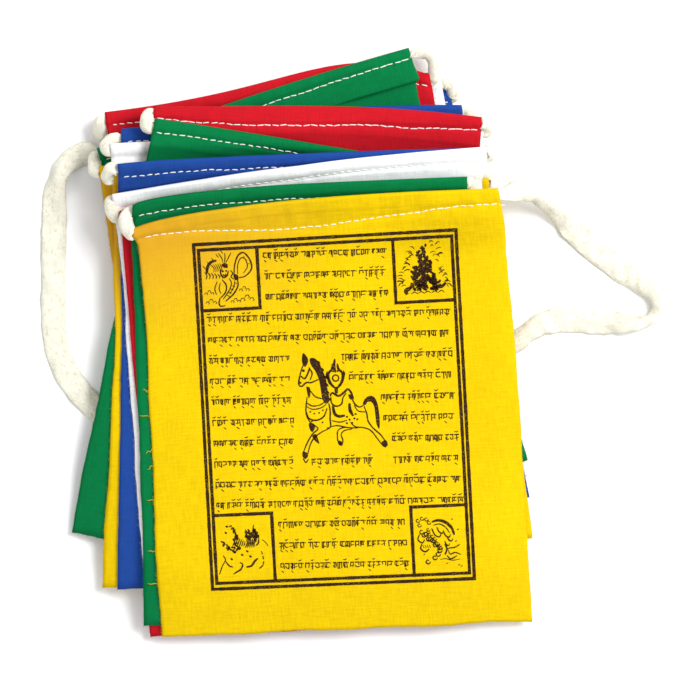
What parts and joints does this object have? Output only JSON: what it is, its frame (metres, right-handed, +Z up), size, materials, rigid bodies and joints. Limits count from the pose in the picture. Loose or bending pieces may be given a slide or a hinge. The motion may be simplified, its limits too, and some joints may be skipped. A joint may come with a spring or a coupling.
{
  "type": "tibetan prayer flag string",
  "caption": "String of small block-printed cotton prayer flags in five colours, folded back and forth in a fanned pile on one cotton tape with free ties.",
  "frame": {"origin": "middle of the pile of flags, on the surface that it lies on", "axes": "+Z up; +Y towards the flags' hems; +X along the hems, to the right as seen from above"},
  "size_m": [0.2481, 0.2392, 0.038],
  "materials": {
    "cotton_yellow": "plain-woven dyed cotton, matt, with dark block print on its face",
    "cotton_green": "plain-woven dyed cotton, matt, with dark block print on its face",
    "cotton_red": "plain-woven dyed cotton, matt, with dark block print on its face",
    "cotton_white": "plain-woven dyed cotton, matt, with dark block print on its face",
    "cotton_blue": "plain-woven dyed cotton, matt, with dark block print on its face",
    "tape_cream": "soft undyed cotton twill tape, matt",
    "thread_white": "white cotton sewing thread, matt",
    "block_ink": "cotton printed with dark brown block ink, matt"
  },
  "bodies": {
    "root": {"flag_01_yellow": "cotton_yellow", "flag_02_green": "cotton_green", "flag_03_red": "cotton_red", "flag_04_white": "cotton_white", "flag_05_blue": "cotton_blue", "flag_06_yellow": "cotton_yellow", "flag_07_green": "cotton_green", "flag_08_red": "cotton_red", "flag_09_white": "cotton_white", "flag_10_blue": "cotton_blue", "flag_11_yellow": "cotton_yellow", "flag_12_green": "cotton_green", "flag_13_red": "cotton_red", "flag_14_white": "cotton_white", "flag_15_blue": "cotton_blue", "tape": "tape_cream"}
  },
  "joints": []
}
